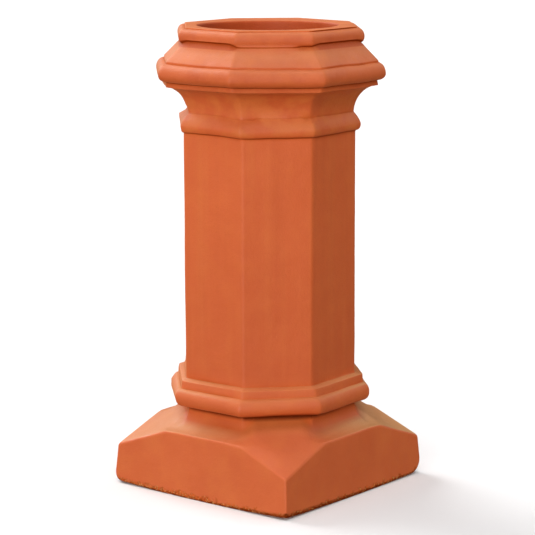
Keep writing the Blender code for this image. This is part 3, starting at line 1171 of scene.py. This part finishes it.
    # Layers of colour from the body outwards: where each lies, how strong it is, and its colour
    layers = (
        (speckle(*RED_PATCHES), 0.35, look.deep_and_shade),
        (speckle(*PALE_PATCHES), 0.25, look.pale),
        (product(on_shaft, between(height, *SHAFT_LIGHTER)), 0.38, look.shaft),
        (product(on_shaft, between(height, *SHAFT_REDDER)), 0.28, look.deep_and_shade),
        (product(on_shaft, speckle(*PALE_STREAKS)), 0.2, look.pale),
        (product(on_shaft, speckle(*RED_STREAKS)), 0.24, look.deep_and_shade),
        (product(between(height, *HEAD_FOOT), speckle(*HEAD_PATCHES)), 0.5, look.deep_and_shade),
        (product(in_hollow, speckle(*HOLLOW_BLOTCHES)), 0.45, look.pale),
        # Paler up-facing faces: dusty tan, and painted light from above
        (on_head, 0.16, look.dust_and_sheen),
        # Tan on the foot's up-facing corners, more towards +X: dusty, and painted sheen
        (product(lying, between(along_x, *DUST_AND_SHEEN_ALONG_X)), 0.95, look.dust_and_sheen),
        # Painted shade under the top roll
        (product(roll_shade, between(upward, *ROLL_SHADE_FACE)), 0.75, look.deep_and_shade),
        # Paler up-facing slope: dusty tan, and painted light
        (product(on_slope, between(upward, *SLOPE_FACE)), 0.18, look.dust_and_sheen),
        # Painted pale sheen on faces that look towards -X
        (weathered, 0.3, look.dust_and_sheen),
        (product(between(edge, *RUBBED_EDGE), between(upward, *RUBBED)), 0.3, look.pale),
        # Painted shade in the creases
        (crease_shade, 0.28, look.grime_and_shade),
        # Painted shade on sheltered undersides
        (soffit_shade, 0.7, look.grime_and_shade),
        # Painted shadow under the torus
        (product(torus_shadow, between(height, *TORUS_SHADOW_TOP)), 0.95, look.grime_and_shade),
        # Painted shade inside the flue
        (in_flue, 0.8, look.deep_and_shade),
        (product(crumbled, speckle(*PITS)), 0.6, look.grime_and_shade),
        # Dirt and painted shade on the foot's down-facing lower edge
        (bevel_dirt_and_shade, 0.88, look.grime_and_shade),
        (product(crumbled, speckle(*PALE_CRUMBS)), 0.8, look.dust_and_sheen),
        (speckle(*RED_GRIT), 0.25, look.deep_and_shade),
        (speckle(*PALE_GRIT), 0.3, look.pale),
    )
    colour = None
    for share, strength, shade in layers:
        mix = add_node(tree, "ShaderNodeMix", data_type="RGBA")
        link(product(share, strength), mix.inputs["Factor"])
        if colour is None:
            mix.inputs[MIX_FROM].default_value = (*look.body, 1.0)
        else:
            link(colour, mix.inputs[MIX_FROM])
        mix.inputs[MIX_TO].default_value = (*shade, 1.0)
        colour = mix.outputs[MIX_OUT]
    link(colour, shader.inputs["Base Color"])

    # A dull shine on open clay, cut as painted shade in creases, sheltered places, the flue and undersides,
    # and hardly any on the dirty lower edge, whose down-facing part is painted shade too
    clean_and_unshaded = between(sheltered, *SHINE_SHADE_SHELTER, 1.0, SHINE_SHELTERED)
    for share, left in (
        (crease_shade, SHINE_CREASED),
        (in_flue, SHINE_IN_FLUE),
        (soffit_shade, SHINE_DIRTY_AND_SHADED),
        (crumbled, SHINE_DIRTY_AND_SHADED),
        (bevel_dirt_and_shade, SHINE_DIRTY_AND_SHADED),
    ):
        clean_and_unshaded = product(clean_and_unshaded, between(share, 0.0, 1.0, 1.0, left))
    link(product(clean_and_unshaded, look.gloss), shader.inputs["Specular IOR Level"])
    link(product(clean_and_unshaded, look.bloom), shader.inputs["Sheen Weight"])

    coarse = grain(*GRAIN)
    least, most = look.roughness - ROUGHNESS_SPREAD, look.roughness + ROUGHNESS_SPREAD
    link(between(coarse, *GRAIN_LEVELS, least, most), shader.inputs["Roughness"])
    normal = None
    for relief, stands in ((grain(*FINE_GRAIN), FINE_GRAIN_HEIGHT), (coarse, GRAIN_HEIGHT)):
        bump = add_node(tree, "ShaderNodeBump", Strength=RELIEF_STRENGTH, Distance=stands)
        link(relief, bump.inputs["Height"])
        if normal is not None:
            link(normal, bump.inputs["Normal"])
        normal = bump.outputs["Normal"]
    link(normal, shader.inputs["Normal"])
    return material


def floor_material(colour):
    """Plain matt floor, hardly mottled."""
    material = bpy.data.materials.new("studio floor")
    material.use_nodes = True
    tree = material.node_tree
    shader = tree.nodes["Principled BSDF"]
    shader.inputs["Roughness"].default_value = FLOOR_ROUGHNESS
    grain = add_node(tree, "ShaderNodeTexNoise", Scale=FLOOR_MOTTLE)
    mix = add_node(tree, "ShaderNodeMix", data_type="RGBA")
    tree.links.new(grain.outputs["Fac"], mix.inputs["Factor"])
    mix.inputs[MIX_FROM].default_value = (*colour, 1.0)
    mix.inputs[MIX_TO].default_value = (*[c * FLOOR_DARKEST for c in colour], 1.0)
    tree.links.new(mix.outputs[MIX_OUT], shader.inputs["Base Color"])
    return material


def studio_air(colour, glow):
    """Surroundings that glow from below as a pale floor does, and look pale above the floor's far edge."""
    world = bpy.data.worlds.new("studio air")
    world.use_nodes = True
    tree = world.node_tree
    height = add_node(tree, "ShaderNodeSeparateXYZ")
    tree.links.new(add_node(tree, "ShaderNodeTexCoord").outputs["Generated"], height.inputs["Vector"])
    spans = {"From Min": 0.0, "From Max": GLOW_START, "To Max": glow}
    below = add_node(tree, "ShaderNodeMapRange", **spans)
    tree.links.new(height.outputs["Z"], below.inputs["Value"])
    seen = add_node(tree, "ShaderNodeMath", operation="MAXIMUM")
    tree.links.new(below.outputs["Result"], seen.inputs[0])
    camera_ray = add_node(tree, "ShaderNodeLightPath").outputs["Is Camera Ray"]
    tree.links.new(camera_ray, seen.inputs[1])
    shade = add_node(tree, "ShaderNodeMix", data_type="RGBA")
    tree.links.new(camera_ray, shade.inputs["Factor"])
    shade.inputs[MIX_FROM].default_value = (*colour, 1.0)
    shade.inputs[MIX_TO].default_value = (1.0, 1.0, 1.0, 1.0)
    air = tree.nodes["Background"]
    tree.links.new(shade.outputs[MIX_OUT], air.inputs["Color"])
    tree.links.new(seen.outputs[0], air.inputs["Strength"])
    return world


# The camera's place, fitted to the photograph

CAMERA_SIDE = math.radians(39.0325)
CAMERA_DISTANCE = 3.70077
CAMERA_HEIGHT = 1.05310
CAMERA_DOWN = math.radians(10.618)
CAMERA_TURN = math.radians(-0.0243)
CAMERA_ROLL = math.radians(-0.1518)
CAMERA_LENS = 152.68
CAMERA_SENSOR = 36.0
CAMERA_CLIP = 200.0

# How far each light is spread, for soft shadows
LIGHT_SPREAD = math.radians(40)

# Each light's name, side and height in degrees, share of its group's strength, and group
LIGHTS = (
    ("front light", 15, 8, 2.28, "front"),
    ("front light left", -25, 8, 0.434, "front"),
    ("side light", -95, 32, 2.55, "side"),
    ("right light", 50, 32, 0.66, "front"),
    ("top light", 0, 85, 1.42, "top"),
    ("back light", 170, 32, 0.548, "back"),
    ("back light right", 120, 32, 0.45, "back"),
)


def swung(first, second, turn):
    """Two axes at right angles, swung so that the first leans towards the second by that turn."""
    cosine, sine = math.cos(turn), math.sin(turn)
    return first * cosine + second * sine, second * cosine - first * sine


def camera_matrix():
    """Where the camera stands and which way it looks."""
    sine, cosine = math.sin(CAMERA_SIDE), math.cos(CAMERA_SIDE)
    eye = Vector((CAMERA_DISTANCE * sine, -CAMERA_DISTANCE * cosine, CAMERA_HEIGHT))
    ahead = Vector((-sine, cosine, 0.0))
    right = Vector((cosine, sine, 0.0))
    up = Vector((0.0, 0.0, 1.0))
    ahead, right = swung(ahead, right, CAMERA_TURN)
    up, ahead = swung(up, ahead, CAMERA_DOWN)
    right, up = swung(right, up, CAMERA_ROLL)
    turned = Matrix((right, up, -ahead)).transposed().to_4x4()
    return Matrix.Translation(eye) @ turned


def add_sun(name, side, height, strength):
    """A soft white light from far off, from a side (0 is the photograph's left face) and a height."""
    data = bpy.data.lights.new(name, "SUN")
    data.energy = strength
    data.angle = LIGHT_SPREAD
    lamp = bpy.data.objects.new(name, data)
    bpy.context.scene.collection.objects.link(lamp)
    level = math.cos(height)
    toward = Vector((math.sin(side) * level, -math.cos(side) * level, math.sin(height)))
    lamp.rotation_mode = "QUATERNION"
    lamp.rotation_quaternion = toward.to_track_quat("Z", "Y")


# The add-on


class PotShape(bpy.types.PropertyGroup):
    """How worn and how uneven the pot is."""

    arris_round: FloatProperty(
        name="Arris rounding",
        description="Radius of the eight upright arrises",
        default=0.008,
        unit="LENGTH",
    )
    crease_softness: FloatProperty(
        name="Crease softness",
        description="How far the mouldings' creases and edges are rubbed",
        default=0.0006,
        unit="LENGTH",
    )
    edge_round: FloatProperty(
        name="Foot edge rounding",
        description="How far the edge between the foot's top and its walls is rounded",
        default=0.0046,
        unit="LENGTH",
    )
    ridge_round: FloatProperty(
        name="Ridge rounding",
        description="Softness of the ridges between the flares and the sloped corners",
        default=0.003,
        unit="LENGTH",
    )
    rim_sag: FloatProperty(
        name="Rim sag",
        description="How much lower the far side of the rim lies",
        default=RIM_SAG,
        unit="LENGTH",
    )
    unevenness: FloatProperty(
        name="Unevenness",
        description="How far the head, shaft and mouldings are turned and shifted on the foot",
        default=1.0,
        subtype="FACTOR",
    )
    waviness: FloatProperty(
        name="Waviness",
        description="Height of the shallow waves on the faces",
        default=0.0008,
        unit="LENGTH",
    )
    chips: FloatProperty(
        name="Chips", description="Depth of the chips in the lower edge", default=0.004, unit="LENGTH"
    )


class ClayLook(bpy.types.PropertyGroup):
    """Colours of the fired clay, some of them also used as painted shade and sheen."""

    body: FloatVectorProperty(
        name="Body",
        description="Main colour of the clay",
        default=(0.61, 0.115, 0.025),
        subtype="COLOR",
    )
    # Redder clay, also used as painted shade under the top roll and inside the flue
    deep_and_shade: FloatVectorProperty(
        name="Deep",
        description="Redder clay in patches",
        default=(0.47, 0.065, 0.010),
        subtype="COLOR",
    )
    pale: FloatVectorProperty(
        name="Pale", description="Rubbed clay", default=(0.70, 0.190, 0.040), subtype="COLOR"
    )
    shaft: FloatVectorProperty(
        name="Shaft",
        description="Lighter clay of the plain shaft",
        default=(0.80, 0.146, 0.031),
        subtype="COLOR",
    )
    # A dusty tan, also used as painted light on faces that look up and as painted sheen on faces towards -X
    dust_and_sheen: FloatVectorProperty(
        name="Dust",
        description="Tan dust on what faces up",
        default=(0.60, 0.285, 0.105),
        subtype="COLOR",
    )
    # Dark dirt at the ground, also used as painted shade in creases, on undersides and under the torus
    grime_and_shade: FloatVectorProperty(
        name="Grime",
        description="Dark dirt in creases and at the ground",
        default=(0.14, 0.018, 0.001),
        subtype="COLOR",
    )
    bloom: FloatProperty(
        name="Bloom",
        description="Strength of the dusty bloom seen at a slant",
        default=0.25,
        subtype="FACTOR",
    )
    gloss: FloatProperty(
        name="Gloss",
        description="Strength of the dull shine on clean clay",
        default=0.5,
        subtype="FACTOR",
    )
    roughness: FloatProperty(
        name="Roughness",
        description="Roughness of the unglazed surface",
        default=0.6,
        subtype="FACTOR",
    )


class StudioLook(bpy.types.PropertyGroup):
    """Floor and light."""

    floor: FloatVectorProperty(
        name="Floor",
        description="Colour of the plain floor",
        default=(0.88, 0.88, 0.88),
        subtype="COLOR",
    )
    glow_colour: FloatVectorProperty(
        name="Glow colour",
        description="Colour of the light from below",
        default=(1.0, 0.72, 0.42),
        subtype="COLOR",
    )
    glow: FloatProperty(
        name="Glow from below", description="Light that the pale floor throws back up", default=0.40
    )
    front: FloatProperty(name="Front light", description="Strength of the light from the front", default=1.0)
    top: FloatProperty(name="Top light", description="Strength of the light from above", default=1.0)
    side: FloatProperty(name="Side light", description="Strength of the light from the left", default=1.0)
    back: FloatProperty(name="Back light", description="Strength of the light from behind", default=1.0)


class CHIMNEY_OT_pot(bpy.types.Operator):
    """Build the chimney pot's skin in place of its solid"""

    bl_idname = "chimney.pot"
    bl_label = "Chimney pot"

    def execute(self, context):
        mesh = pot_mesh(context.scene.pot_shape)
        mesh.materials.append(clay_material(context.scene.clay_look))
        pot = bpy.data.objects.new("terracotta_pot", mesh)
        context.scene.collection.objects.link(pot)
        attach(pot, "root")
        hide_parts(NODE)
        return {"FINISHED"}


class CHIMNEY_OT_studio(bpy.types.Operator):
    """Lay the pale floor, hang the lights and stand the camera where the photograph was taken"""

    bl_idname = "chimney.studio"
    bl_label = "Studio"

    def execute(self, context):
        scene = context.scene
        look = scene.studio_look
        mesh = bpy.data.meshes.new("floor")
        reach = FLOOR_REACH
        corners = [(-reach, -reach, 0), (reach, -reach, 0), (reach, reach, 0), (-reach, reach, 0)]
        mesh.from_pydata(corners, [], [(0, 1, 2, 3)])
        mesh.materials.append(floor_material(look.floor))
        floor = bpy.data.objects.new("studio_floor", mesh)
        scene.collection.objects.link(floor)
        floor.visible_diffuse = False
        floor.visible_glossy = False

        for name, side, height, share, group in LIGHTS:
            strength = share * getattr(look, group)
            add_sun(name, math.radians(side), math.radians(height), strength)

        scene.world = studio_air(look.glow_colour, look.glow)
        scene.view_settings.view_transform = "Standard"

        data = bpy.data.cameras.new("camera")
        data.lens = CAMERA_LENS
        data.sensor_width = CAMERA_SENSOR
        data.clip_end = CAMERA_CLIP
        camera = bpy.data.objects.new("camera", data)
        camera.matrix_world = camera_matrix()
        scene.collection.objects.link(camera)
        scene.camera = camera
        return {"FINISHED"}


class CHIMNEY_PT_panel(bpy.types.Panel):
    """Lists the pot and the studio in the sidebar"""

    bl_label = "Chimney pot"
    bl_idname = "CHIMNEY_PT_panel"
    bl_space_type = "VIEW_3D"
    bl_region_type = "UI"
    bl_category = "Chimney pot"

    def draw(self, context):
        scene = context.scene
        groups = (
            (CHIMNEY_OT_pot, (scene.pot_shape, scene.clay_look)),
            (CHIMNEY_OT_studio, (scene.studio_look,)),
        )
        for operator, settings in groups:
            box = self.layout.box()
            box.operator(operator.bl_idname)
            for group in settings:
                for name in group.__annotations__:
                    box.prop(group, name)


CLASSES = (PotShape, ClayLook, StudioLook, CHIMNEY_OT_pot, CHIMNEY_OT_studio, CHIMNEY_PT_panel)


def register():
    for cls in CLASSES:
        bpy.utils.register_class(cls)
    bpy.types.Scene.pot_shape = PointerProperty(type=PotShape)
    bpy.types.Scene.clay_look = PointerProperty(type=ClayLook)
    bpy.types.Scene.studio_look = PointerProperty(type=StudioLook)


def unregister():
    del bpy.types.Scene.studio_look
    del bpy.types.Scene.clay_look
    del bpy.types.Scene.pot_shape
    for cls in reversed(CLASSES):
        bpy.utils.unregister_class(cls)


def main():
    register()
    bpy.ops.chimney.pot()
    bpy.ops.chimney.studio()


if __name__ == "__main__":
    main()
